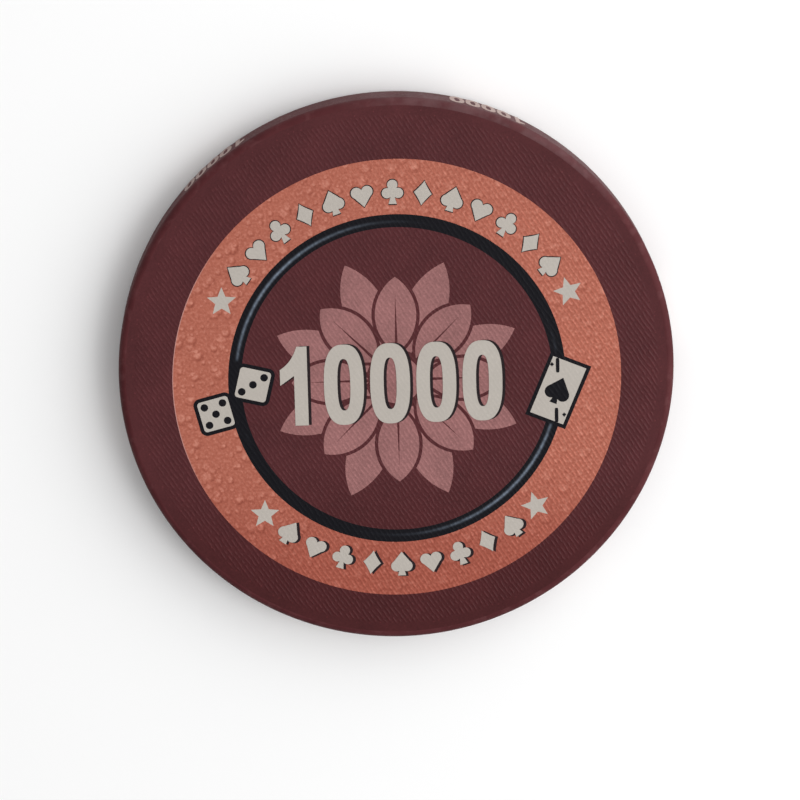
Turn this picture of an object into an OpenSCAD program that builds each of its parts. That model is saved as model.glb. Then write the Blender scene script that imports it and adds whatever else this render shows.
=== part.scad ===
// A printed ceramic poker chip, lying flat with its front face up.
// The dyed areas of the skin are separate solids that fill it side by side, over one moulded blank.
// Millimetres. The origin is at the middle of the back face, and the top of the print points to +Y.

/* [Chip] */
// Diameter of the chip
chip_d = 39; // [37:0.5:43]
// Thickness of the chip
chip_t = 3.3; // [2.8:0.1:4]
// Radius of the rounded rims
rim_round = 0.5; // [0.3:0.05:0.8]
// Depth that the dye reaches into the skin
dye_depth = 0.1; // [0.05:0.01:0.2]

/* [Rings] */
// How far the print sits below the middle of the chip
print_shift = 0.5; // [0:0.02:0.6]
// Outer diameter of the salmon ring
colour_ring_d = 31.5; // [30.5:0.1:34]
// Outer diameter of the navy ring
navy_ring_d = 23.7; // [22.5:0.1:25]
// Width of the navy ring
navy_ring_w = 0.92; // [0.4:0.02:1.4]

/* [Stars] */
// Tip radius of a star
star_r = 1.06; // [0.6:0.02:1.4]
// Radius of the notches as a share of the tip radius
star_notch = 0.44; // [0.3:0.02:0.6]
// Radius of the circle that the stars stand on
star_circle_r = 13.5; // [13.2:0.1:14]
// Angle of the upper pair, each side of the top
upper_star_angle = 63.7; // [60:0.1:68]
// Angle of the lower pair, each side of the bottom
lower_star_angle = 45.3; // [40:0.1:50]
// Turn of each star from its way outwards, counter-clockwise
star_lean = 7; // [0:1:36]

/* [Playing card] */
// Width of the card with its outline
card_w = 3.05; // [2.4:0.05:3.4]
// Height of the card with its outline
card_h = 4.88; // [3.8:0.02:5]
// Lean of the card, clockwise
card_lean = 23; // [0:1:30]
// Middle of the card, right of the middle of the print
card_x = 11.3; // [11:0.1:12]
// Middle of the card, above the middle of the print
card_y = -1.13; // [-2:0.01:0]
// Width of the outlines
outline_w = 0.27; // [0.15:0.01:0.3]
// Height of the spade on the card
spade_h = 1.95; // [1.2:0.05:2.2]

/* [Dice] */
// Side of a die with its outline
die_side = 2.75; // [2:0.05:2.8]
// Corner radius of a die
die_round = 0.5; // [0.4:0.05:0.7]
// Lean of the upper die, clockwise; the lower one leans the other way
die_lean = 14; // [0:1:20]
// Middle of the pair, left of the middle of the print
dice_x = -11.45; // [-12:0.05:-11]
// Middle of the pair, above the middle of the print
dice_y = -1.05; // [-2:0.05:0]
// Half the distance between the two dice, across
dice_half_x = 1.33; // [1.2:0.01:1.5]
// Half the distance between the two dice, upwards
dice_half_y = 1.02; // [0.8:0.01:1.2]
// Radius of a pip
pip_r = 0.27; // [0.15:0.01:0.3]

/* [Rosette] */
// Number of petals in each tier
petal_count = 8; // [6:1:10]
// Radius of the disc in the middle
rosette_eye_r = 1.7; // [1:0.1:1.8]
// Tip radius of the front tier
front_petal_r = 7.4; // [6:0.1:8]
// Tip radius of the back tier
back_petal_r = 9; // [8.2:0.1:9.4]
// Width of a petal
petal_w = 2.9; // [2:0.1:3.2]
// Width of the gaps between petals
petal_gap = 0.24; // [0.15:0.01:0.4]

/* [Hidden] */
$fn = 96;
chip_r = chip_d / 2;
face_r = chip_r - rim_round;
colour_ring_r = colour_ring_d / 2;
navy_ring_r = navy_ring_d / 2;
centre_r = navy_ring_r - navy_ring_w;
// The petals start this far out, clear of the middle disc
petal_root_r = rosette_eye_r + petal_gap;
// The slit up a front petal ends at this share of the petal's length
slit_end = 0.8;
// A pip stands this far from the middle of a die, as a share of its side
pip_step = 0.24;
maroon = "#542c2d";
salmon = "#b5695a";
navy = "#1c1e28";
pink = "#9a6b69";
cream = "#b5b1a8";

// Half of the section of a disc with rounded rims, lying on y = 0 and touching x = 0
module half_section(radius, height, rounding) {
  translate([0, rounding]) square([radius, height - 2 * rounding]);
  square([radius - rounding, height]);
  for (y = [rounding, height - rounding]) translate([radius - rounding, y]) circle(rounding);
}

// A square with round corners, about its middle
module rounded_square(side, rounding) {
  square([side, side - 2 * rounding], center = true);
  square([side - 2 * rounding, side], center = true);
  for (x = [-1, 1], y = [-1, 1])
    translate([x, y] * (side / 2 - rounding)) circle(rounding);
}

// A leaf between two arcs, with its tips on the Y axis at the two given heights
module leaf(low, high, width) {
  length = high - low;
  arc_r = (length * length + width * width) / (4 * width);
  intersection_for (side = [-1, 1])
    translate([side * (arc_r - width / 2), (low + high) / 2]) circle(arc_r);
}

// A five-point star about its middle, one tip to the right
module star_figure() {
  polygon([
    for (i = [0:9])
      let (r = i % 2 == 0 ? star_r : star_r * star_notch, a = 36 * i)
      r * [cos(a), sin(a)]
  ]);
}

// A spade of height 1 about its middle: a point over two round lobes, and a flared stem
module spade_figure() {
  lobe_r = 0.235;
  lobe = [0.225, -0.12];
  tip = [0, 0.5];
  stem_top_w = 0.1;
  stem_foot_w = 0.28;
  // The straight sides run from the tip and meet the lobes as tangents
  reach = norm(tip - lobe);
  tangent_angle = atan2(tip.y - lobe.y, tip.x - lobe.x) - acos(lobe_r / reach);
  touch = lobe + lobe_r * [cos(tangent_angle), sin(tangent_angle)];
  for (side = [-1, 1]) translate([side * lobe.x, lobe.y]) circle(lobe_r);
  polygon([tip, [-touch.x, touch.y], [-lobe.x, lobe.y], [lobe.x, lobe.y], touch]);
  polygon([[-stem_top_w, 2 * lobe.y] / 2, [-stem_foot_w, -1] / 2,
           [stem_foot_w, -1] / 2, [stem_top_w, 2 * lobe.y] / 2]);
}

module stars_shape() {
  for (angle = [90 - upper_star_angle, 90 + upper_star_angle,
                270 - lower_star_angle, 270 + lower_star_angle])
    rotate(angle) translate([star_circle_r, 0]) rotate(star_lean) star_figure();
}

module at_card() {
  translate([card_x, card_y]) rotate(-card_lean) children();
}

// The whole card, or what is left of it inside a margin
module card_shape(margin) {
  at_card() square([card_w - 2 * margin, card_h - 2 * margin], center = true);
}

module card_spade() {
  at_card() scale(spade_h) spade_figure();
}

module at_die(i) {
  translate([dice_x, dice_y] + (2 * i - 1) * [dice_half_x, dice_half_y])
    rotate(die_lean * (1 - 2 * i)) children();
}

// One die, or what is left of it inside a margin
module die_shape(i, margin) {
  at_die(i) rounded_square(die_side - 2 * margin, die_round - margin);
}

module dice_shape() {
  for (i = [0, 1]) die_shape(i, 0);
}

// Five pips on the first die and three on the second
module die_pips(i) {
  step = die_side * pip_step;
  at_die(i) {
    circle(pip_r);
    for (way = [-1, 1]) {
      translate([way * step, way * step]) circle(pip_r);
      if (i == 0) translate([way * step, -way * step]) circle(pip_r);
    }
  }
}

// One petal of the front tier, grown by a margin
module front_petal(margin) {
  leaf(petal_root_r - margin, front_petal_r + margin, petal_w + 2 * margin);
}

module rosette_shape() {
  step = 360 / petal_count;
  petal_length = front_petal_r - petal_root_r;
  circle(rosette_eye_r);
  for (i = [0:petal_count - 1]) {
    rotate(i * step) difference() {
      front_petal(0);
      polygon([[-petal_gap, 2 * rosette_eye_r] / 2, [petal_gap, 2 * rosette_eye_r] / 2,
               [0, petal_root_r + slit_end * petal_length]]);
    }
    rotate((i + 0.5) * step) difference() {
      leaf(petal_root_r, back_petal_r, petal_w);
      rotate(-step / 2) front_petal(petal_gap);
      rotate(step / 2) front_petal(petal_gap);
      circle(petal_root_r + petal_gap);
    }
  }
}

// The dyed areas of a face, in the print's own plane
module rim_field_area() {
  difference() {
    translate([0, print_shift]) circle(face_r);
    circle(colour_ring_r);
  }
}

module colour_ring_area() {
  difference() {
    circle(colour_ring_r);
    circle(navy_ring_r);
    stars_shape();
    card_shape(0);
    dice_shape();
  }
}

module line_work_area() {
  difference() {
    union() {
      difference() {
        circle(navy_ring_r);
        circle(centre_r);
      }
      card_shape(0);
      dice_shape();
    }
    card_area();
    dice_area();
  }
}

module centre_field_area() {
  difference() {
    circle(centre_r);
    rosette_shape();
    card_shape(0);
    dice_shape();
  }
}

module card_area() {
  difference() {
    card_shape(outline_w);
    card_spade();
  }
}

// The lower die lies over the upper one
module dice_area() {
  for (i = [0, 1]) difference() {
    die_shape(i, outline_w);
    die_pips(i);
    if (i == 1) die_shape(0, 0);
  }
}

// Lays a flat area into the skin of the front face
module on_front() {
  translate([0, -print_shift, chip_t - dye_depth]) linear_extrude(dye_depth) children();
}

// The same for the back face, turned over about the Y axis
module on_back() {
  translate([0, 0, chip_t]) rotate([0, 180, 0]) on_front() children();
}

module chip_blank() {
  color(cream) translate([0, 0, dye_depth]) rotate_extrude()
    half_section(chip_r - dye_depth, chip_t - 2 * dye_depth, rim_round - dye_depth);
}

module edge_band() {
  color(maroon) rotate_extrude() difference() {
    half_section(chip_r, chip_t, rim_round);
    translate([0, dye_depth])
      half_section(chip_r - dye_depth, chip_t - 2 * dye_depth, rim_round - dye_depth);
    square([face_r, chip_t]);
  }
}

module front_rim_field() { color(maroon) on_front() rim_field_area(); }
module front_colour_ring() { color(salmon) on_front() colour_ring_area(); }
module front_line_work() { color(navy) on_front() line_work_area(); }
module front_centre_field() { color(maroon) on_front() centre_field_area(); }
module front_rosette() { color(pink) on_front() rosette_shape(); }
module front_stars() { color(cream) on_front() stars_shape(); }
module front_card() { color(cream) on_front() card_area(); }
module front_dice() { color(cream) on_front() dice_area(); }

module back_rim_field() { color(maroon) on_back() rim_field_area(); }
module back_colour_ring() { color(salmon) on_back() colour_ring_area(); }
module back_line_work() { color(navy) on_back() line_work_area(); }
module back_centre_field() { color(maroon) on_back() centre_field_area(); }
module back_rosette() { color(pink) on_back() rosette_shape(); }
module back_stars() { color(cream) on_back() stars_shape(); }
module back_card() { color(cream) on_back() card_area(); }
module back_dice() { color(cream) on_back() dice_area(); }

chip_blank();
edge_band();
front_rim_field();
front_colour_ring();
front_line_work();
front_centre_field();
front_rosette();
front_stars();
front_card();
front_dice();
back_rim_field();
back_colour_ring();
back_line_work();
back_centre_field();
back_rosette();
back_stars();
back_card();
back_dice();
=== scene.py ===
# %% [markdown]
# A printed ceramic poker chip
#
# A ceramic chip is one moulded disc of ceramic-filled resin. Heat drives its dyes a tenth of a millimetre
# into the skin, so the print is flush, and a fine linen texture from the mould runs over all of it. The
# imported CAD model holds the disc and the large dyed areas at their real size. This lesson loads it as a
# fixed frame, gives each area its finish, and adds the small print: numbers, card suits and card marks.

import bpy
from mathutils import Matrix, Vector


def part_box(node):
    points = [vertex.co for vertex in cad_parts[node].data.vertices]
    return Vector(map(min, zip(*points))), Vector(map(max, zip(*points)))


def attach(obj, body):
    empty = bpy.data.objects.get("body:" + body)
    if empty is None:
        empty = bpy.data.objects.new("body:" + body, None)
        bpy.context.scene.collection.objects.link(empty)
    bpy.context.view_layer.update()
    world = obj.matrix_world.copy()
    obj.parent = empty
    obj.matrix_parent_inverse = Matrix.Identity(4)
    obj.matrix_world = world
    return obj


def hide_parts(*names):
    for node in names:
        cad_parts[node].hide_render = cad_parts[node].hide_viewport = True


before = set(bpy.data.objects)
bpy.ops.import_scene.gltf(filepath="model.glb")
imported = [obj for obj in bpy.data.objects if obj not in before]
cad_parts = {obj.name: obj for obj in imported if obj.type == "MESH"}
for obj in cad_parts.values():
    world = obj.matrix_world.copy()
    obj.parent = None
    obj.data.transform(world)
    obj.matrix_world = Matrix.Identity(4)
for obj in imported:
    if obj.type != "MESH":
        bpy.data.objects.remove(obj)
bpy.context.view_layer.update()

# %% Tools and units
import math

import bpy
import numpy as np
from mathutils import Matrix, Vector

MM = 0.001
scene = bpy.context.scene
scene.view_settings.view_transform = "Standard"
print("Blender", bpy.app.version_string, "with", len(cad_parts), "CAD nodes")

# %% [markdown]
# Sizes
#
# Sizes of the chip and its print are in millimetres, and those of the studio, its lamps and floor, in
# metres. The chip's own sizes, and the middle of the print, which sits a little below the middle of the
# chip, could be typed in again. They are read from the frame instead, so that new pieces land on the dyed
# areas under them.

# %% Sizes read from the frame
rim_low, rim_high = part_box("edge_band")
ring_low, ring_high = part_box("front_colour_ring")
field_low, field_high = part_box("front_rim_field")
CHIP_R = rim_high.x / MM
CHIP_T = rim_high.z / MM
FACE_R = field_high.x / MM
RING_R = (ring_high.x - ring_low.x) / 2 / MM
PRINT_Y = (ring_high.y + ring_low.y) / 2 / MM
SKIN = (field_high.z - field_low.z) / MM
print(f"chip radius {CHIP_R:.2f}, thickness {CHIP_T:.2f}, ring radius {RING_R:.2f}, print at y {PRINT_Y:.2f}")

# %% [markdown]
# The camera
#
# A camera can be placed by eye, or worked out from how known circles look in a picture. Here the outline of
# the chip and its printed rings gave a long lens about 27 cm away, with the face tilted and turned a
# little. The camera is built the other way round: the face is turned in front of a camera at rest, and the
# inverse of that turn puts the camera in front of a face at rest.

# %% Place the camera
IMAGE_SIDE = 800
FOCAL_PIXELS = 3798
FACE_TILT = math.radians(14.29)
FACE_TURN = math.radians(1.90)
PRINT_ROLL = math.radians(1.40)
CAMERA_DISTANCE = 266.3
FACE_RIGHT = -0.21
FACE_UP = 1.90
NEAREST_SEEN = 10

camera_data = bpy.data.cameras.new("camera")
camera_data.lens = camera_data.sensor_width * FOCAL_PIXELS / IMAGE_SIDE
camera_data.clip_start = NEAREST_SEEN * MM
camera = bpy.data.objects.new("camera", camera_data)
scene.collection.objects.link(camera)
scene.camera = camera
face_turn = Matrix.Rotation(FACE_TILT, 4, "X") @ Matrix.Rotation(FACE_TURN, 4, "Y")
face_turn = face_turn @ Matrix.Rotation(PRINT_ROLL, 4, "Z")
to_camera = Matrix.Translation(MM * Vector((-FACE_RIGHT, -FACE_UP, CAMERA_DISTANCE)))
camera.matrix_world = Matrix.Translation((0, 0, CHIP_T * MM)) @ face_turn.inverted() @ to_camera
print("camera at", [round(c, 4) for c in camera.matrix_world.translation], "lens", round(camera_data.lens, 1))

# %% [markdown]
# Building nodes from code
#
# A sky or a material can be wired by hand in the editor. In code, small helpers keep it readable: one adds
# a node and fills its inputs with numbers or with links, and two more do a sum on numbers or on vectors.
# The other helpers of this lesson stand where they are first needed.

# %% Helpers for nodes
def add(tree, kind, values=None, **settings):
    """A new node with its settings, whose inputs take plain values or links from other sockets."""
    made = tree.nodes.new(kind)
    for name, value in settings.items():
        setattr(made, name, value)
    for key, value in (values or {}).items():
        if isinstance(value, bpy.types.NodeSocket):
            tree.links.new(value, made.inputs[key])
        else:
            made.inputs[key].default_value = value
    return made


def calc(tree, operation, *values):
    """The result of one Math node on sockets or numbers."""
    return add(tree, "ShaderNodeMath", dict(enumerate(values)), operation=operation).outputs[0]


def vec(tree, operation, *values, **named):
    """The result of one Vector Math node; named inputs, such as Scale, come by name."""
    made = add(tree, "ShaderNodeVectorMath", {**dict(enumerate(values)), **named}, operation=operation)
    return made.outputs["Value" if operation in ("LENGTH", "DOT_PRODUCT") else "Vector"]


print("helpers:", [helper.__name__ for helper in (add, calc, vec)])

# %% [markdown]
# Light and floor
#
# Soft studio light is a pale sky with a few large lamps. Here the sky is brighter on the right than on the
# left, as in a room with a window, so that the left of the rim falls into shade. The key lamp is large and
# comes from the right, the rim lamp is low and lights the edge at the upper right, and the high lamp is
# small, so that the ribs of the linen show. A lamp's power says little by itself, so the sky and each lamp
# are given by their share of plain light on the face: shares that add up to about 1 show a colour as it is
# written. A sky of level a + b cos(t) about a direction gives a + 2/3 b z, with z the height of that
# direction. A lamp of power P at distance d, at an angle t from straight up, gives P cos(t) / (pi d)^2.

# %% Sky
SKY_LEVEL = 0.45
SKY_SWING = 0.46
SKY_WAY = Vector((0.75, 0.30, 0.56)).normalized()
world = bpy.data.worlds.new("studio_sky")
scene.world = world
world.use_nodes = True
sky_tree = world.node_tree
sky = sky_tree.nodes["Background"]
sky.inputs["Color"].default_value = (1, 1, 1, 1)
ray = add(sky_tree, "ShaderNodeTexCoord").outputs["Generated"]
leaning = calc(sky_tree, "MULTIPLY_ADD", vec(sky_tree, "DOT_PRODUCT", ray, SKY_WAY), SKY_SWING, SKY_LEVEL)
sky_tree.links.new(calc(sky_tree, "MAXIMUM", leaning, 0.0), sky.inputs["Strength"])
print("share of the sky:", round(SKY_LEVEL + SKY_SWING * SKY_WAY.z * 2 / 3, 3))

# %% Lamps
LAMPS = {
    "key_lamp": dict(direction=(0.78, -0.08, 0.62), distance=0.40, side=0.40, share=0.32),
    "rim_lamp": dict(direction=(0.66, 0.64, 0.38), distance=0.35, side=0.30, share=0.14),
    "high_lamp": dict(direction=(0.42, 0.05, 0.90), distance=0.40, side=0.15, share=0.12),
}


def add_lamp(name, direction, distance, side, share):
    """A square lamp aimed at the face; power = share (pi d)^2 / cos(t), with t between direction and up."""
    way = Vector(direction).normalized()
    data = bpy.data.lights.new(name, "AREA")
    data.size = side
    data.energy = share * (math.pi * distance) ** 2 / way.z
    lamp = bpy.data.objects.new(name, data)
    lamp.location = way * distance
    lamp.rotation_euler = way.to_track_quat("Z", "Y").to_euler()
    scene.collection.objects.link(lamp)
    print(name, round(data.energy, 2), "W")


for lamp_name, setting in LAMPS.items():
    add_lamp(lamp_name, **setting)

# %% Floor
FLOOR_HALF = 1.5
FLOOR_DROP_MM = 0.03
FLOOR_GREY = (0.93, 0.93, 0.93, 1)
FLOOR_ROUGHNESS = 0.9
floor_mesh = bpy.data.meshes.new("floor")
floor_corners = FLOOR_HALF * np.array([[-1, -1, 0], [1, -1, 0], [1, 1, 0], [-1, 1, 0]])
floor_mesh.from_pydata(floor_corners - [0, 0, FLOOR_DROP_MM * MM], [], [[0, 1, 2, 3]])
floor = bpy.data.objects.new("floor", floor_mesh)
scene.collection.objects.link(floor)
floor_paint = bpy.data.materials.new("floor_paint")
floor_paint.use_nodes = True
floor_shader = floor_paint.node_tree.nodes["Principled BSDF"]
floor_shader.inputs["Base Color"].default_value = FLOOR_GREY
floor_shader.inputs["Roughness"].default_value = FLOOR_ROUGHNESS
floor_shader.inputs["Specular IOR Level"].default_value = 0.0
floor_mesh.materials.append(floor_paint)
print("floor", 2 * FLOOR_HALF, "m across,", FLOOR_DROP_MM, "mm below the chip")

# %% [markdown]
# Effect: the moulded linen
#
# The mould is engraved with fine slanted ribs, about 0.3 mm apart and broken into short lengths like the
# threads of a twill. Modelling a hundred ribs on each face is possible, but they are only hundredths of a
# millimetre deep, so a sine wave that feeds a bump is enough. Raised to a power, the wave has crests
# narrower than its valleys. Stretched noise breaks the ribs up, they are shallower towards the upper left,
# and they end in small bright specks half a millimetre before the rounded rim, which is smooth. The effect
# is a node group, because every printed finish uses it. It needs the place in the print that a point of the
# surface has.

# %% Helpers for effects
def step(tree, value, start, end, low=0.0, high=1.0):
    """A soft step: low where value is below start, high where it is above end."""
    values = {"Value": value, "From Min": start, "From Max": end, "To Min": low, "To Max": high}
    return add(tree, "ShaderNodeMapRange", values, interpolation_type="SMOOTHSTEP").outputs["Result"]


def noise(tree, place, scale, detail=1.0):
    """A noise between 0 and 1, about 0.5 on average, with a given number of waves to a unit."""
    return add(tree, "ShaderNodeTexNoise", {"Vector": place, "Scale": scale, "Detail": detail}).outputs[0]


def new_group(name, inputs, outputs):
    """An empty shader node group with the named sockets, and its input and output nodes."""
    tree = bpy.data.node_groups.new(name, "ShaderNodeTree")
    for direction, sockets in (("INPUT", inputs), ("OUTPUT", outputs)):
        for socket_name, kind in sockets.items():
            tree.interface.new_socket(socket_name, in_out=direction, socket_type="NodeSocket" + kind)
    return tree, tree.nodes.new("NodeGroupInput"), tree.nodes.new("NodeGroupOutput")


print("helpers:", [helper.__name__ for helper in (step, noise, new_group)])

# %% Helpers for places in the print
def print_spot(tree, place):
    """Millimetres about the middle of the print, as seen on either face: x changes its sign on the back."""
    part = add(tree, "ShaderNodeSeparateXYZ", {0: place}).outputs
    is_front = calc(tree, "GREATER_THAN", part["Z"], CHIP_T / 2 * MM)
    sign = calc(tree, "MULTIPLY_ADD", is_front, 2.0, -1.0)
    right = calc(tree, "MULTIPLY", calc(tree, "MULTIPLY", part["X"], 1 / MM), sign)
    up = calc(tree, "MULTIPLY_ADD", part["Y"], 1 / MM, -PRINT_Y)
    return add(tree, "ShaderNodeCombineXYZ", {"X": right, "Y": up}).outputs[0]


def scatter(tree, spot, cell):
    """One random point to each cell: the way from it in millimetres, and its own three random numbers."""
    scaled = vec(tree, "SCALE", spot, Scale=1 / cell)
    cells = add(tree, "ShaderNodeTexVoronoi", {"Vector": scaled, "Scale": 1.0}, voronoi_dimensions="2D")
    away = vec(tree, "SCALE", vec(tree, "SUBTRACT", scaled, cells.outputs["Position"]), Scale=cell)
    return away, add(tree, "ShaderNodeSeparateColor", {0: cells.outputs["Color"]}).outputs


print("helpers:", [helper.__name__ for helper in (print_spot, scatter)])

# %% Linen group
RIB_PITCH = 0.29
RIB_ANGLE = math.radians(33)
RIB_SHARPNESS = 1.6
RIB_WOBBLE = 3.0
WOBBLE_SCALE = 0.7
THREAD_LENGTH = 0.42
THREAD_BREAK = (0.35, 0.60)
THREAD_LOW = 0.15
SHALLOW_ANGLE = math.radians(120)
SHALLOW_REACH = 0.8 * FACE_R
SHALLOW_DEPTH = 0.65
LINEN_MARGIN = 0.55
LINEN_END = FACE_R - LINEN_MARGIN
LINEN_FADE = 0.3
LINEN_RAGGED = 0.5
SPECK_CELL = 0.42
SPECK_R = 0.075
SPECK_CORE_R = 0.3 * SPECK_R
SPECK_CHANCE = 0.30
SPECK_BAND = (0.1, 0.4)


def rib_height(tree, spot, from_axis):
    """Crest * threads * depth * fade: the height of the ribs as a share of their depth.

    The crest is (0.5 + 0.5 sin(2 pi u / pitch + wobble))^n, with u across the ribs. The threads break it up,
    the depth is less towards one angle, and the fade ends it before the rim.
    """
    turned = add(tree, "ShaderNodeMapping", {"Vector": spot, "Rotation": (0, 0, -RIB_ANGLE)}).outputs[0]
    across = add(tree, "ShaderNodeSeparateXYZ", {0: turned}).outputs["X"]
    wobble = calc(tree, "MULTIPLY", noise(tree, turned, WOBBLE_SCALE), RIB_WOBBLE)
    phase = calc(tree, "MULTIPLY_ADD", across, 2 * math.pi / RIB_PITCH, wobble)
    wave = calc(tree, "MULTIPLY_ADD", calc(tree, "SINE", phase), 0.5, 0.5)
    crest = calc(tree, "POWER", wave, RIB_SHARPNESS)
    breaks = noise(tree, vec(tree, "MULTIPLY", turned, (1 / RIB_PITCH, 1 / THREAD_LENGTH, 0)), 1.0)
    threads = step(tree, breaks, *THREAD_BREAK, THREAD_LOW, 1.0)
    shallow_way = (math.cos(SHALLOW_ANGLE), math.sin(SHALLOW_ANGLE), 0)
    reach = vec(tree, "DOT_PRODUCT", spot, shallow_way)
    depth = step(tree, reach, -SHALLOW_REACH, SHALLOW_REACH, 1.0, SHALLOW_DEPTH)
    ragged = calc(tree, "MULTIPLY_ADD", breaks, LINEN_RAGGED, from_axis)
    fade = step(tree, ragged, LINEN_END, LINEN_END + LINEN_FADE, 1.0, 0.0)
    ribs = calc(tree, "MULTIPLY", calc(tree, "MULTIPLY", crest, threads), depth)
    return calc(tree, "MULTIPLY", ribs, fade)


def end_specks(tree, spot, from_axis):
    """Small round dots: 1 inside some of the scattered points near the end of the linen, and 0 elsewhere."""
    away, chance = scatter(tree, spot, SPECK_CELL)
    dot = step(tree, vec(tree, "LENGTH", away), SPECK_CORE_R, SPECK_R, 1.0, 0.0)
    near_end = calc(tree, "ABSOLUTE", calc(tree, "SUBTRACT", from_axis, LINEN_END))
    shown = calc(tree, "LESS_THAN", chance[0], step(tree, near_end, *SPECK_BAND, SPECK_CHANCE, 0.0))
    return calc(tree, "MULTIPLY", dot, shown)


def make_linen():
    """The group that gives the ribs' height and the specks for a place on either face."""
    outputs = {"Height": "Float", "Specks": "Float"}
    tree, given, result = new_group("moulded_linen", {"Place": "Vector"}, outputs)
    spot = print_spot(tree, given.outputs["Place"])
    from_axis = vec(tree, "LENGTH", vec(tree, "ADD", spot, (0, PRINT_Y, 0)))
    tree.links.new(rib_height(tree, spot, from_axis), result.inputs["Height"])
    tree.links.new(end_specks(tree, spot, from_axis), result.inputs["Specks"])
    return tree


linen = make_linen()
print("linen group with", len(linen.nodes), "nodes")

# %% [markdown]
# Effect: uneven dye
#
# Dye that is driven in by heat is never quite even. A flat colour would look like paint on a screen, and a
# photographed texture would repeat. Here a slow cloud and a fine grain make each colour a little lighter
# and darker, and the same grain varies the gloss. The crests of the linen get a painted highlight and its
# valleys painted shade, so that the ribs show in the colour too. The group takes the dye and the linen, and
# gives a colour and a roughness back.

# %% Dye group
GRAIN_SCALE = 8.0
CLOUD_SCALE = 0.35
CLOUD_DETAIL = 3.0
CREST_TOP = 0.9
SPECK_LIGHT = 0.45
NOISE_MOSTLY = (0.3, 0.7)
PRINT_ROUGHNESS = (0.36, 0.48)


def make_uneven_dye():
    """Colour = dye (1 + amount (cloud + grain - 1)) (1 + rib light and shade + specks); gloss from grain."""
    inputs = {"Place": "Vector", "Dye": "Color"}
    inputs.update(dict.fromkeys(("Amount", "RibShade", "Height", "Specks"), "Float"))
    tree, given, result = new_group("uneven_dye", inputs, {"Colour": "Color", "Roughness": "Float"})
    place = vec(tree, "SCALE", given.outputs["Place"], Scale=1 / MM)
    grain = noise(tree, place, GRAIN_SCALE)
    cloud = noise(tree, place, CLOUD_SCALE, CLOUD_DETAIL)
    swing = calc(tree, "SUBTRACT", calc(tree, "ADD", cloud, grain), 1.0)
    level = calc(tree, "MULTIPLY_ADD", swing, given.outputs["Amount"], 1.0)
    # Painted light and shade on the ribs: the colour is lifted on their crests and lowered in their valleys.
    crest = step(tree, given.outputs["Height"], 0.0, CREST_TOP, -1.0, 1.0)
    rib_shaded = calc(tree, "MULTIPLY_ADD", crest, given.outputs["RibShade"], 1.0)
    dotted = calc(tree, "MULTIPLY_ADD", given.outputs["Specks"], SPECK_LIGHT, rib_shaded)
    colour = vec(tree, "SCALE", given.outputs["Dye"], Scale=calc(tree, "MULTIPLY", level, dotted))
    tree.links.new(colour, result.inputs["Colour"])
    tree.links.new(step(tree, grain, *NOISE_MOSTLY, *PRINT_ROUGHNESS), result.inputs["Roughness"])
    return tree


uneven_dye = make_uneven_dye()
print("dye group with", len(uneven_dye.nodes), "nodes")

# %% [markdown]
# Effect: printed drops
#
# The salmon ring carries a printed pattern of water drops: pale beads of many sizes, each with a dark
# crescent under it. They could be drawn one by one, but there are hundreds. A Voronoi texture scatters one
# point to a cell and gives each a random colour, which sets the bead's radius and whether there is one.
# Three sizes of cell make large, middling and fine beads. A noise bends the plane first, so that no bead is
# quite round, a speckle lies under them all, and the beads are strongest on the left of the ring.

# %% One layer of beads
BEAD_SOFT = (0.35, 1.20)
BEAD_LIGHT_WAY = (0.35, -0.60, 0.0)
BEAD_LIGHT_REACH = (-0.7, 0.6)
BEAD_DIM = 0.45
CRESCENT_SHIFT = (0.16, -0.30, 0.0)
CRESCENT_SOFT = (0.80, 1.25)


def bead_layer(tree, spot, cell, least, most, share):
    """Beads of radius least to most: lighter inside, and darker where a shifted copy shows outside."""
    away, chance = scatter(tree, spot, cell)
    radius = step(tree, chance[0], 0.0, 1.0, least, most)
    shown = calc(tree, "LESS_THAN", chance[1], share)
    unit = vec(tree, "SCALE", away, Scale=calc(tree, "DIVIDE", 1.0, radius))
    inside = step(tree, vec(tree, "LENGTH", unit), *BEAD_SOFT, 1.0, 0.0)
    shifted = vec(tree, "LENGTH", vec(tree, "SUBTRACT", unit, CRESCENT_SHIFT))
    shadow = step(tree, shifted, *CRESCENT_SOFT, 1.0, 0.0)
    crescent = calc(tree, "MAXIMUM", calc(tree, "SUBTRACT", shadow, inside), 0.0)
    lit = vec(tree, "DOT_PRODUCT", unit, BEAD_LIGHT_WAY)
    bright = step(tree, lit, *BEAD_LIGHT_REACH, BEAD_DIM, 1.0)
    tone = calc(tree, "SUBTRACT", calc(tree, "MULTIPLY", inside, bright), crescent)
    return calc(tree, "MULTIPLY", tone, shown)


def toward(tree, spot, angle):
    """The cosine of the angle between the way to a spot and a given direction across the face."""
    axis = (math.cos(angle), math.sin(angle), 0)
    return vec(tree, "DOT_PRODUCT", vec(tree, "NORMALIZE", spot), axis)


print("a bead's crescent lies", round(math.hypot(*CRESCENT_SHIFT), 2), "of its radius off its middle")

# %% Drops group
LARGE_BEADS = dict(cell=1.5, least=0.28, most=0.46, share=0.60)
MIDDLING_BEADS = dict(cell=0.80, least=0.15, most=0.30, share=0.75)
FINE_BEADS = dict(cell=0.36, least=0.08, most=0.14, share=0.75)
MIDDLING_TONE = 0.9
FINE_TONE = 0.4
BEAD_BEND = 0.22
BEND_SCALE = 2.2
BEADED_ANGLE = math.radians(165)
BEADED_FACING = (0.1, 0.9)
BEAD_STRENGTH = (0.50, 0.78)
SPECKLE_SCALE = 5.0
SPECKLE_DETAIL = 3.0
SPECKLE_SWING = 1.2


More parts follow.
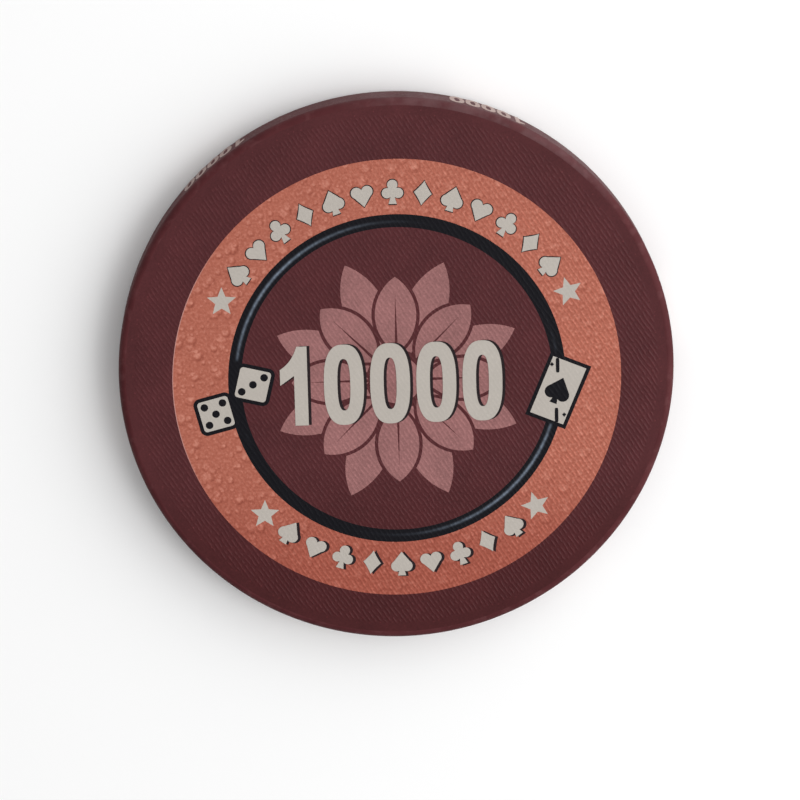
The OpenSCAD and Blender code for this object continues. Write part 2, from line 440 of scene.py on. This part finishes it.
def make_drops():
    """Tone, about -1 in a crescent and 1 in a bead: three layers of beads and a speckle added up."""
    tree, given, result = new_group("printed_drops", {"Place": "Vector"}, {"Tone": "Float"})
    spot = print_spot(tree, given.outputs["Place"])
    waves = {"Vector": spot, "Scale": BEND_SCALE, "Detail": 1.0}
    bend = add(tree, "ShaderNodeTexNoise", waves).outputs["Color"]
    shifted = vec(tree, "SUBTRACT", bend, (0.5, 0.5, 0.5))
    bent = vec(tree, "ADD", spot, vec(tree, "SCALE", shifted, Scale=BEAD_BEND))
    large, middling, fine = (bead_layer(tree, bent, **s) for s in (LARGE_BEADS, MIDDLING_BEADS, FINE_BEADS))
    smaller = calc(tree, "MULTIPLY_ADD", fine, FINE_TONE, calc(tree, "MULTIPLY", middling, MIDDLING_TONE))
    strength = step(tree, toward(tree, spot, BEADED_ANGLE), *BEADED_FACING, *BEAD_STRENGTH)
    beads = calc(tree, "MULTIPLY", calc(tree, "ADD", large, smaller), strength)
    grain = noise(tree, spot, SPECKLE_SCALE, SPECKLE_DETAIL)
    speckle = calc(tree, "MULTIPLY_ADD", grain, 2 * SPECKLE_SWING, -SPECKLE_SWING)
    tree.links.new(calc(tree, "ADD", beads, speckle), result.inputs["Tone"])
    return tree


drops = make_drops()
print("drops group with", len(drops.nodes), "nodes")

# %% [markdown]
# Finishes of the print
#
# All printed areas share one build: a dye made uneven, over the linen bump, on a matt surface. Only the dye
# and the strength of each effect differ. The gloss is kept low, because a matt dark dye that mirrors a
# white studio turns grey. Three finishes paint their dye by the place in the print. Maroon is darkened
# towards the bottom by a warm painted shade. Salmon has the same painted shade, and it has the drops, weaker
# ribs where the drops are strongest, and a pale hairline along the left of its outer border. Navy has a
# glint, drawn so that the ring looks like a polished wire: it is brightest at two opposite places, fades
# from them with the sixth power of the cosine, is broken up by a noise and stops at the card and the dice.

# %% Build of a printed finish
RIB_DEPTH = 0.020
SMOOTH_FACING = (0.1, 0.75)
SMOOTH_RIBS = 0.35
PRINT_SPECULAR = 0.13


def print_finish(name, colour, depth=RIB_DEPTH, amount=0.35, rib_shade=0.08, paint=None, smooth_angle=None):
    """A matt printed finish; paint makes the dye from the place, and ribs are weak towards smooth_angle."""
    material = bpy.data.materials.new(name)
    material.use_nodes = True
    tree = material.node_tree
    shader = tree.nodes["Principled BSDF"]
    place = add(tree, "ShaderNodeTexCoord").outputs["Object"]
    ribs = add(tree, "ShaderNodeGroup", node_tree=linen)
    tree.links.new(place, ribs.inputs["Place"])
    height = ribs.outputs["Height"]
    if smooth_angle is not None:
        facing = toward(tree, print_spot(tree, place), smooth_angle)
        height = calc(tree, "MULTIPLY", height, step(tree, facing, *SMOOTH_FACING, 1.0, SMOOTH_RIBS))
    uneven = add(tree, "ShaderNodeGroup", node_tree=uneven_dye)
    tree.links.new(place, uneven.inputs["Place"])
    tree.links.new(height, uneven.inputs["Height"])
    tree.links.new(ribs.outputs["Specks"], uneven.inputs["Specks"])
    uneven.inputs["Amount"].default_value = amount
    # The share of painted light and shade on the ribs.
    uneven.inputs["RibShade"].default_value = rib_shade
    uneven.inputs["Dye"].default_value = colour
    if paint:
        tree.links.new(paint(tree, place, colour), uneven.inputs["Dye"])
    bump = add(tree, "ShaderNodeBump", {"Height": height, "Distance": depth * MM})
    tree.links.new(uneven.outputs["Colour"], shader.inputs["Base Color"])
    tree.links.new(uneven.outputs["Roughness"], shader.inputs["Roughness"])
    tree.links.new(bump.outputs["Normal"], shader.inputs["Normal"])
    shader.inputs["Specular IOR Level"].default_value = PRINT_SPECULAR
    material.diffuse_color = colour
    return material


def dye(red, green, blue):
    """A colour given as display values from 0 to 255, turned into the linear values that shaders use."""
    shown = np.array([red, green, blue]) / 255
    linear = np.where(shown <= 0.04045, shown / 12.92, ((shown + 0.055) / 1.055) ** 2.4)
    return (*linear.tolist(), 1.0)


print("a display grey of 128 is", round(dye(128, 128, 128)[0], 3), "in linear light")

# %% Dyes that follow the print
# Painted shade: a warm tint darkens the print towards its bottom, fully below the lower of these heights.
LOWER_SHADE_TINT = (0.80, 0.66, 0.65, 1.0)
SHADE_FULL_Y, SHADE_START_Y = -14.0, -5.0
DROP_DARK, DROP_PALE = dye(150, 80, 64), dye(200, 130, 112)
HAIRLINE_DYE = dye(193, 142, 134)
HAIRLINE_W = 0.05
HAIRLINE_ANGLE = math.radians(175)
HAIRLINE_FACING = (0.80, 0.97)


def blend_colour(tree, share, first, second):
    """A Mix node on two colours."""
    made = add(tree, "ShaderNodeMix", {0: share, 6: first, 7: second}, data_type="RGBA")
    return made.outputs[2]


def paint_lower_shade(tree, place, colour):
    """The dye, times a warm tint of painted shade that comes in over the lower part of the print."""
    up = add(tree, "ShaderNodeSeparateXYZ", {0: print_spot(tree, place)}).outputs["Y"]
    values = {0: step(tree, up, SHADE_FULL_Y, SHADE_START_Y, 1.0, 0.0), 6: colour, 7: LOWER_SHADE_TINT}
    return add(tree, "ShaderNodeMix", values, data_type="RGBA", blend_type="MULTIPLY").outputs[2]


def paint_drops(tree, place, colour):
    """The dye, darker or lighter by the tone of the drops, and a pale line along the left of the border."""
    tone = add(tree, "ShaderNodeGroup", node_tree=drops)
    tree.links.new(place, tone.inputs["Place"])
    ramp = add(tree, "ShaderNodeValToRGB", {0: calc(tree, "MULTIPLY_ADD", tone.outputs["Tone"], 0.5, 0.5)})
    ramp.color_ramp.elements[0].color = DROP_DARK
    ramp.color_ramp.elements[1].color = DROP_PALE
    ramp.color_ramp.elements.new(0.5).color = colour
    spot = print_spot(tree, place)
    inward = calc(tree, "SUBTRACT", RING_R, vec(tree, "LENGTH", spot))
    border = step(tree, inward, 0.5 * HAIRLINE_W, 1.5 * HAIRLINE_W, 1.0, 0.0)
    left = step(tree, toward(tree, spot, HAIRLINE_ANGLE), *HAIRLINE_FACING)
    # Painted shade, as on the maroon: the ring is darkened towards the bottom.
    lower_shaded = paint_lower_shade(tree, place, ramp.outputs["Color"])
    return blend_colour(tree, calc(tree, "MULTIPLY", border, left), lower_shaded, HAIRLINE_DYE)


print("dyes that follow the print:", [paint.__name__ for paint in (paint_lower_shade, paint_drops)])

# %% Glint of the navy ring
GLINT_DYE = dye(108, 118, 132)
GLINT_R = 11.32
GLINT_W = 0.096
GLINT_ANGLE = math.radians(141)
GLINT_POWER = 6.0
GLINT_GAP_Y = -0.90
GLINT_GAP_HALF = (2.50, 2.90)
GLINT_BREAK_SCALE = 2.5
GLINT_BREAK_DETAIL = 2.0
GLINT_BREAK = (0.35, 0.65)
GLINT_LEVEL = (0.7, 1.1)


def paint_glint(tree, place, colour):
    """The dye, with a pale line at the glint's radius: cos^6(angle) exp(-((r - R) / w)^2) times a noise."""
    spot = print_spot(tree, place)
    off = calc(tree, "DIVIDE", calc(tree, "SUBTRACT", vec(tree, "LENGTH", spot), GLINT_R), GLINT_W)
    line = calc(tree, "EXPONENT", calc(tree, "MULTIPLY", calc(tree, "MULTIPLY", off, off), -1.0))
    bright = calc(tree, "POWER", calc(tree, "ABSOLUTE", toward(tree, spot, GLINT_ANGLE)), GLINT_POWER)
    up = calc(tree, "SUBTRACT", add(tree, "ShaderNodeSeparateXYZ", {0: spot}).outputs["Y"], GLINT_GAP_Y)
    free = step(tree, calc(tree, "ABSOLUTE", up), *GLINT_GAP_HALF)
    breaks = noise(tree, spot, GLINT_BREAK_SCALE, GLINT_BREAK_DETAIL)
    broken = step(tree, breaks, *GLINT_BREAK, *GLINT_LEVEL)
    shown = calc(tree, "MULTIPLY", calc(tree, "MULTIPLY", line, bright), free)
    return blend_colour(tree, calc(tree, "MULTIPLY", shown, broken), colour, GLINT_DYE)


print("glint at radius", GLINT_R, "mm, fading over", GLINT_W, "mm to either side")

# %% Mix the printed finishes
# The maroon carries painted shade towards the bottom of the print.
maroon = print_finish("maroon_print", dye(80, 37, 40), amount=0.45, paint=paint_lower_shade)
salmon = print_finish(
    "salmon_print", dye(174, 100, 82), depth=0.018, amount=0.12, paint=paint_drops, smooth_angle=BEADED_ANGLE
)
navy = print_finish("navy_print", dye(10, 9, 16), depth=0.010, paint=paint_glint)
shade = print_finish("shade_print", dye(34, 24, 27), depth=0.006)
pink = print_finish("pink_print", dye(147, 101, 100), depth=0.012, amount=0.55)
cream = print_finish("cream_print", dye(178, 171, 163), depth=0.003, amount=0.12, rib_shade=0.015)
print("printed finishes:", [m.name for m in (maroon, salmon, navy, shade, pink, cream)])

# %% [markdown]
# Finish of the edge
#
# The edge and its rounded rims have no linen. They are smooth and satin, and they knock against other
# chips, so the two corners wear a little paler in scattered patches. One stretch, at the upper right, has
# a painted sheen, paler and greyer in patches. Both could be painted by hand, but a noise that only counts
# in those places is enough.

# %% Edge finish
EDGE_DARK, EDGE_PALE = dye(74, 32, 35), dye(83, 39, 42)
# The worn colour is real wear at the corners; the other is a painted sheen for the upper right.
EDGE_WORN, EDGE_SHEEN = dye(104, 64, 66), dye(108, 84, 86)
EDGE_CLOUD_SCALE, EDGE_CLOUD_DETAIL = 0.5, 4.0
CORNER_START, CORNER_FULL = 0.45, 0.15
WEAR_SCALE, WEAR_DETAIL = 1.3, 5.0
WEAR_PATCHES = (0.50, 0.68)
WEAR_SHARE = 0.3
# Painted sheen: where, and how patchily, the upper right of the edge is made paler and greyer.
SHEEN_ANGLE = math.radians(68)
SHEEN_FACING = (0.80, 0.96)
SHEEN_SCALE, SHEEN_DETAIL = 0.9, 5.0
SHEEN_PATCHES = (0.35, 0.65)
SHEEN_SHARE = (0.12, 0.40)
EDGE_GRAIN_SCALE, EDGE_GRAIN_DETAIL = 7.0, 3.0
EDGE_GRAIN_DEPTH = 0.005
EDGE_ROUGHNESS = (0.50, 0.64)
EDGE_SPECULAR = 0.10


def edge_finish():
    """Satin maroon, paler by noise at the corners, with a painted sheen at the upper right and fine grain."""
    material = bpy.data.materials.new("maroon_edge")
    material.use_nodes = True
    tree = material.node_tree
    shader = tree.nodes["Principled BSDF"]
    place = vec(tree, "SCALE", add(tree, "ShaderNodeTexCoord").outputs["Object"], Scale=1 / MM)
    height = add(tree, "ShaderNodeSeparateXYZ", {0: place}).outputs["Z"]
    from_middle = calc(tree, "ABSOLUTE", calc(tree, "SUBTRACT", height, CHIP_T / 2))
    corner = step(tree, from_middle, CHIP_T / 2 - CORNER_START, CHIP_T / 2 - CORNER_FULL)
    patches = step(tree, noise(tree, place, WEAR_SCALE, WEAR_DETAIL), *WEAR_PATCHES)
    worn = calc(tree, "MULTIPLY", calc(tree, "MULTIPLY", corner, patches), WEAR_SHARE)
    cloud = step(tree, noise(tree, place, EDGE_CLOUD_SCALE, EDGE_CLOUD_DETAIL), *NOISE_MOSTLY)
    clouded = blend_colour(tree, cloud, EDGE_DARK, EDGE_PALE)
    paled = blend_colour(tree, worn, clouded, EDGE_WORN)
    # Painted sheen: a paler, greyer colour in patches at the upper right of the edge, for light caught there.
    sheen_side = step(tree, toward(tree, place, SHEEN_ANGLE), *SHEEN_FACING)
    sheen_spots = step(tree, noise(tree, place, SHEEN_SCALE, SHEEN_DETAIL), *SHEEN_PATCHES, *SHEEN_SHARE)
    sheened = blend_colour(tree, calc(tree, "MULTIPLY", sheen_side, sheen_spots), paled, EDGE_SHEEN)
    grain = noise(tree, place, EDGE_GRAIN_SCALE, EDGE_GRAIN_DETAIL)
    bump = add(tree, "ShaderNodeBump", {"Height": grain, "Distance": EDGE_GRAIN_DEPTH * MM})
    tree.links.new(sheened, shader.inputs["Base Color"])
    tree.links.new(step(tree, grain, *NOISE_MOSTLY, *EDGE_ROUGHNESS), shader.inputs["Roughness"])
    tree.links.new(bump.outputs["Normal"], shader.inputs["Normal"])
    shader.inputs["Specular IOR Level"].default_value = EDGE_SPECULAR
    return material


edge_maroon = edge_finish()
edge_cream = print_finish("edge_cream", dye(166, 142, 135), depth=0.0, amount=0.5)
blank_resin = print_finish("blank_resin", dye(70, 40, 40), depth=0.0)
print("finishes without linen:", edge_maroon.name, edge_cream.name, blank_resin.name)

# %% [markdown]
# Dressing the CAD nodes
#
# The large dyed areas keep their CAD meshes, because their outlines are already right. Each only swaps its
# plain material for a finish, on both faces. The blank under them hardly shows, and gets bare resin.

# %% Put the finishes on
AREA_FINISH = {
    "rim_field": maroon,
    "colour_ring": salmon,
    "line_work": navy,
    "centre_field": maroon,
    "rosette": pink,
    "stars": cream,
    "card": cream,
    "dice": cream,
}


def dress(node, finish):
    """Gives a CAD node one finish in place of its own material."""
    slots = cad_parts[node].data.materials
    slots.clear()
    slots.append(finish)


for area, finish in AREA_FINISH.items():
    dress(f"front_{area}", finish)
    dress(f"back_{area}", finish)
dress("chip_blank", blank_resin)
print("dressed", 2 * len(AREA_FINISH) + 1, "CAD nodes")

# %% [markdown]
# The edge band
#
# The band is a lathe shape: a profile of two quarter-round rims and a straight side, turned about the axis
# of the chip. The CAD band has the same form, but its rims are cut in few facets, and the light along a rim
# shows every one. A new lathe with many steps, shaded smooth, stands in for it. Its inner lip tucks a
# little way under the face, so that no gap shows where the two meet.

# %% Make a piece from points and faces
def ring_faces(rows, columns):
    """Quads between neighbours on a grid of points that closes on itself both ways."""
    row, column = np.meshgrid(np.arange(rows), np.arange(columns), indexing="ij")
    next_row, next_column = (row + 1) % rows, (column + 1) % columns
    corners = [(row, column), (row, next_column), (next_row, next_column), (next_row, column)]
    return np.stack([r * columns + c for r, c in corners], axis=-1).reshape(-1, 4).tolist()


def new_piece(name, solid, finish, smooth_angle=None):
    """A mesh object at the origin, from points in millimetres, riding on the chip."""
    points, faces = solid
    mesh = bpy.data.meshes.new(name)
    mesh.from_pydata(points * MM, [], faces)
    if smooth_angle is not None:
        mesh.polygons.foreach_set("use_smooth", np.ones(len(mesh.polygons), bool))
        mesh.set_sharp_from_angle(angle=math.radians(smooth_angle))
    mesh.materials.append(finish)
    mesh.validate()
    piece = bpy.data.objects.new(name, mesh)
    scene.collection.objects.link(piece)
    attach(piece, "root")
    print(name, len(points), "points,", len(faces), "faces")
    return piece


print("a closed grid of 3 by 4 points has", len(ring_faces(3, 4)), "faces")

# %% Turn the edge band
BAND_STEPS = 540
RIM_STEPS = 14
LIP_TUCK = 0.04
LIP_SINK = 0.002
SMOOTH_BELOW = 40


def band_profile():
    """Radius and height round the band's section: top rim, side and bottom rim outside, then back inside."""
    rim = CHIP_R - FACE_R
    quarter = np.linspace(0, np.pi / 2, RIM_STEPS)
    top = np.c_[FACE_R + rim * np.sin(quarter), CHIP_T - rim + rim * np.cos(quarter)]
    bottom = np.c_[top[::-1, 0], CHIP_T - top[::-1, 1]]
    inside = FACE_R - LIP_TUCK
    top_lip = [[inside, CHIP_T - LIP_SINK]]
    bottom_lip = [[inside, LIP_SINK]]
    tucked = [[inside, SKIN], [inside, CHIP_T - SKIN]]
    return np.vstack([top_lip, top, bottom, bottom_lip, tucked])


def lathe(profile, steps):
    """Each profile point (r, z) goes to (r cos a, r sin a, z) for every angle a round the axis."""
    angle = np.linspace(0, 2 * np.pi, steps, endpoint=False)[:, None]
    radius, height = profile.T
    points = np.stack([radius * np.cos(angle), radius * np.sin(angle), height + 0 * angle], axis=-1)
    return points.reshape(-1, 3), ring_faces(steps, len(profile))


turned_band = lathe(band_profile(), BAND_STEPS)
band = new_piece("edge_band_turned", turned_band, edge_maroon, SMOOTH_BELOW)
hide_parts("edge_band")

# %% [markdown]
# The number
#
# The number on the face is five bold, narrow figures in cream, with a dark shadow a little to the right. A
# font could draw them, but its outlines depend on what is installed. Here a nought is two superellipses,
# which are ovals with flattened sides: |x/a|^n + |y/b|^n = 1. A one is an upright stem with a flag, whose
# upper side is a quadratic curve. The shadow is the same figures, moved. All small print is made as thin
# closed solids that sit in the skin and stand a hundredth of a millimetre proud, so that one colour always
# wins over the one under it. A filled figure is its outline carried straight up, with a face on each end. A
# figure with a hole, such as a nought, is a small section carried round a loop.

# %% Make solids from outlines
def filled_solid(outline, low, high):
    """A closed outline, counter-clockwise, carried from height low to high, with both ends closed."""
    count = len(outline)
    points = np.vstack([np.c_[outline, np.full(count, high)], np.c_[outline, np.full(count, low)]])
    here = np.arange(count)
    after = (here + 1) % count
    walls = np.c_[here, here + count, after + count, after].tolist()
    return points, walls + [here.tolist(), (here[::-1] + count).tolist()]


def ring_solid(outer, inner, low, high):
    """A rectangular section between an inner and an outer loop, carried round: out, down, in and up again."""
    count = len(outer)
    levels = [(outer, high), (outer, low), (inner, low), (inner, high)]
    points = np.stack([np.c_[loop, np.full(count, level)] for loop, level in levels], axis=1)
    return points.reshape(-1, 3), ring_faces(count, 4)


def join_solids(solids):
    """Several solids as one list of points and one of faces, each counted on from the last."""
    starts = np.cumsum([0] + [len(points) for points, _ in solids])
    faces = [[start + i for i in face] for start, (_, own) in zip(starts, solids) for face in own]
    return np.vstack([points for points, _ in solids]), faces


def raise_figures(figures, low, high):
    """Figures as one solid: each is a tuple of one outline, or of an outer and an inner one."""
    return join_solids([(ring_solid if len(f) == 2 else filled_solid)(*f, low, high) for f in figures])


square = np.array([[0, 0], [1, 0], [1, 1], [0, 1]])
print("a square carried up has", len(filled_solid(square, 0, 1)[1]), "faces")

# %% Print on both faces
LAYER = 0.012


def turned_over(points):
    """The same points on the other face: half a turn about the Y axis through the middle of the chip."""
    return points * [-1, 1, -1] + [0, 0, CHIP_T]


def print_on_faces(name, figures, layer, finish):
    """Lays outlines, given about the middle of the print, into both faces, up to the given layer."""
    points, faces = raise_figures(figures, CHIP_T - SKIN / 2, CHIP_T + layer * LAYER)
    points = points + [0, PRINT_Y, 0]
    new_piece("front_" + name, (points, faces), finish)
    new_piece("back_" + name, (turned_over(points), faces), finish)


def moved(figures, shift):
    """The same outlines, each moved by a shift."""
    return [tuple(outline + shift for outline in figure) for figure in figures]


print("a layer of print is", LAYER, "mm high")

# %% Shapes of the figures
OVAL_POINTS = 96
OVAL_POWER = 2.6
FLAG_POINTS = 12
STEM_LEFT, STEM_RIGHT = -0.041, 0.123
FLAG_END_LOW, FLAG_ROOT = (-0.214, 0.512), (STEM_LEFT, 0.632)
FLAG_END_HIGH, FLAG_BEND, FLAG_TOP = (-0.214, 0.712), (-0.065, 0.80), (-0.002, 1.0)


def oval(width, height, power=OVAL_POWER):
    """A superellipse: x = a cos|cos|^(2/n - 1), and y the same with sines."""
    angle = np.linspace(0, 2 * np.pi, OVAL_POINTS, endpoint=False)
    wave = np.c_[np.cos(angle), np.sin(angle)]
    return np.sign(wave) * np.abs(wave) ** (2 / power) * [width / 2, height / 2]


def figure_one(height):
    """The one about its cell's middle, in shares of its height: a stem and a flag.

    The flag's upper side is t^2 A + 2t(1-t) B + (1-t)^2 C, from its top A past its bend B to its end C.
    """
    t = np.linspace(1, 0, FLAG_POINTS)[:, None]
    top = t**2 * FLAG_TOP + 2 * t * (1 - t) * np.array(FLAG_BEND) + (1 - t) ** 2 * FLAG_END_HIGH
    stem = [(STEM_LEFT, 0), (STEM_RIGHT, 0), (STEM_RIGHT, 1)]
    return (np.vstack([stem, top, [FLAG_END_LOW, FLAG_ROOT]]) - [0, 0.5]) * height


def ten_thousand(height, pitch, nought, hole):
    """The five figures about the middle of the number: a one, then four noughts a pitch apart."""
    figures = [(figure_one(height) + [-2 * pitch, 0],)]
    for place in range(-1, 3):
        shift = [place * pitch, 0]
        figures.append((oval(*nought) + shift, oval(*hole) + shift))
    return figures


print("a one has", len(figure_one(1)), "points and a nought", 2 * OVAL_POINTS)

# %% Print the number
FACE_NUMBER = dict(height=5.70, pitch=3.245, nought=(2.80, 5.80), hole=(0.90, 3.72))
NUMBER_MIDDLE = [-0.50, -0.235]
NUMBER_SHADOW = [0.21, 0.03]
number = moved(ten_thousand(**FACE_NUMBER), NUMBER_MIDDLE)
print_on_faces("number_shadow", moved(number, NUMBER_SHADOW), 1, shade)
print_on_faces("number", number, 2, cream)

# %% [markdown]
# Card suits round the ring
#
# The ring carries two rows of card suits, between the stars. The upper row has a thin dark outline, and the
# lower one a shadow to the right. Drawing each suit as a list of points would be long. Each can be
# described from its middle instead: along any ray, its outline is the farthest point at which the ray
# leaves one of its lobes, its pointed body or its stem. So one formula draws a spade, a heart, which is an
# upside-down spade without its stem, and a club. The diamond is a superellipse with a low power.

# %% Rays that leave a shape
RAY_POINTS = 120
JUST_ABOVE_ZERO = 1e-9
rays = np.linspace(0, 2 * np.pi, RAY_POINTS, endpoint=False)
ray_way = np.c_[np.cos(rays), np.sin(rays)]


def leave_circle(centre, radius):
    """Where each ray leaves a circle: b + sqrt(b^2 - |c|^2 + r^2), with b the centre's reach along it."""
    reach = ray_way @ np.array(centre)
    inside = reach**2 - np.dot(centre, centre) + radius**2
    return np.where(inside > 0, reach + np.sqrt(np.maximum(inside, 0)), 0)


def leave_body(corners):
    """Where each ray leaves a convex polygon round the middle: the nearest of its sides' lines ahead."""
    corners = np.array(corners, float)
    side = np.roll(corners, -1, axis=0) - corners
    outward = np.c_[side[:, 1], -side[:, 0]]
    ahead = ray_way @ outward.T
    distance = np.sum(outward * corners, axis=1) / np.where(ahead > JUST_ABOVE_ZERO, ahead, np.nan)
    return np.nanmin(distance, axis=1)


def leave_stem(foot, half_width):
    """Where each downward ray leaves a wedge that widens from the middle to a flat foot."""
    down = -ray_way[:, 1]
    meets = np.where(down > 0, foot / np.maximum(down, JUST_ABOVE_ZERO), 0)
    return np.where(np.abs(ray_way[:, 0]) * meets < half_width, meets, 0)


print("rays:", RAY_POINTS)

# %% Shapes of the suits
LOBES = [(-0.21, -0.10), (0.21, -0.10)]
LOBE_R = 0.225
POINTED_BODY = [(0, 0.5), (-0.40, 0.0), (-0.30, -0.20), (0.30, -0.20), (0.40, 0.0)]
STEM_FOOT, STEM_HALF_W = 0.5, 0.17
CLUB_LEAVES = [(0, 0.27), (-0.22, -0.06), (0.22, -0.06)]
CLUB_LEAF_R = 0.205
DIAMOND_HALF_W, DIAMOND_HALF_H = 0.36, 0.5
DIAMOND_POWER = 0.9


def suit(name):
    """The outline of one suit, one unit high, as the distance to its edge along each ray."""
    lobes = [leave_circle(lobe, LOBE_R) for lobe in LOBES]
    body = leave_body(POINTED_BODY)
    stem = leave_stem(STEM_FOOT, STEM_HALF_W)
    if name == "spade":
        return np.max([*lobes, body, stem], axis=0)
    if name == "heart":
        return np.max([*lobes, body], axis=0)[-np.arange(RAY_POINTS)]
    if name == "club":
        leaves = [leave_circle(leaf, CLUB_LEAF_R) for leaf in CLUB_LEAVES]
        return np.max([*leaves, stem], axis=0)
    shares = np.abs(ray_way / [DIAMOND_HALF_W, DIAMOND_HALF_H]) ** DIAMOND_POWER
    return 1 / (shares[:, 0] + shares[:, 1]) ** (1 / DIAMOND_POWER)


SUITS = ("spade", "heart", "club", "diamond")
print("longest ray of each suit:", {name: round(float(suit(name).max()), 2) for name in SUITS})

# %% Print the suits
SUIT_H = 1.75
SUIT_CIRCLE_R = 13.45
SUIT_STEP = 9.0
UPPER_ROW = dict(middle_angle=90, count=13, upward=1)
LOWER_ROW = dict(middle_angle=270, count=9, upward=-1)
OUTLINE = 0.075
SUIT_SHADOW = [0.18, -0.02]


def suit_row(middle_angle, count, upward, grow=0):
    """Suits in turn along the ring about one angle, grown by a margin.

    Their heads point outwards where upward is 1, and inwards where it is -1.
    """
    places = np.arange(count) - (count - 1) / 2
    figures = []
    for i, place in enumerate(places):
        angle = math.radians(middle_angle - upward * place * SUIT_STEP)
        outward = np.array([math.cos(angle), math.sin(angle)])
        head = upward * outward
        right = np.array([head[1], -head[0]])
        distance = suit(SUITS[i % len(SUITS)]) * SUIT_H + grow
        figures.append((SUIT_CIRCLE_R * outward + (distance[:, None] * ray_way) @ np.array([right, head]),))
    return figures


upper_dark = suit_row(**UPPER_ROW, grow=OUTLINE)
lower_dark = moved(suit_row(**LOWER_ROW, grow=OUTLINE / 2), SUIT_SHADOW)
print_on_faces("suit_shadows", upper_dark + lower_dark, 1, shade)
print_on_faces("suits", suit_row(**UPPER_ROW) + suit_row(**LOWER_ROW), 2, cream)

# %% [markdown]
# Marks on the card
#
# The playing card has a bar and a tiny spade in two opposite corners, too small for the CAD areas. They are
# drawn like the number and the suits, about the middle of the card, which the frame gives.

# %% Print the card marks
BAR = oval(0.25, 1.05, power=5)
TINY_SPADE_H = 0.30
TINY_SPADE = TINY_SPADE_H * suit("spade")[:, None] * ray_way
UPPER_BAR, LOWER_BAR = [-0.01, 1.82], [-0.137, -1.79]
UPPER_SPADE, LOWER_SPADE = [-0.41, 1.92], [0.40, -1.79]
card_low, card_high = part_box("front_card")
card_middle = np.array((card_low + card_high)[:2]) / 2 / MM - [0, PRINT_Y]
marks = [BAR + UPPER_BAR, BAR + LOWER_BAR, TINY_SPADE + UPPER_SPADE, -TINY_SPADE + LOWER_SPADE]
print_on_faces("card_marks", moved([(mark,) for mark in marks], card_middle), 1, navy)

# %% [markdown]
# Numbers on the edge
#
# The same number stands six times round the edge, its head towards the front. Bent by hand, the figures
# would not follow the side. So the flat figures are rolled on to it: what runs to the right becomes an
# angle, what runs up stays up, and what stands proud becomes radius.

# %% Roll the numbers on to the edge
EDGE_NUMBER = dict(height=2.15, pitch=1.14, nought=(1.05, 2.19), hole=(0.37, 1.30))
EDGE_COUNT = 6
EDGE_START = math.radians(9.4)
EDGE_NUMBER_DROP = 0.2
EDGE_NUMBER_Z = CHIP_T / 2 - EDGE_NUMBER_DROP


def roll_on(points, start):
    """(x, y, z) goes to angle start + x / R, height y and radius R + z."""
    angle = start + points[:, 0] / CHIP_R
    radius = CHIP_R + points[:, 2]
    return np.c_[radius * np.cos(angle), radius * np.sin(angle), EDGE_NUMBER_Z + points[:, 1]]


flat_points, flat_faces = raise_figures(ten_thousand(**EDGE_NUMBER), -SKIN / 2, LAYER)
starts = EDGE_START + 2 * np.pi / EDGE_COUNT * np.arange(EDGE_COUNT)
edge_numbers = join_solids([(roll_on(flat_points, start), flat_faces) for start in starts])
new_piece("edge_numbers", edge_numbers, edge_cream)
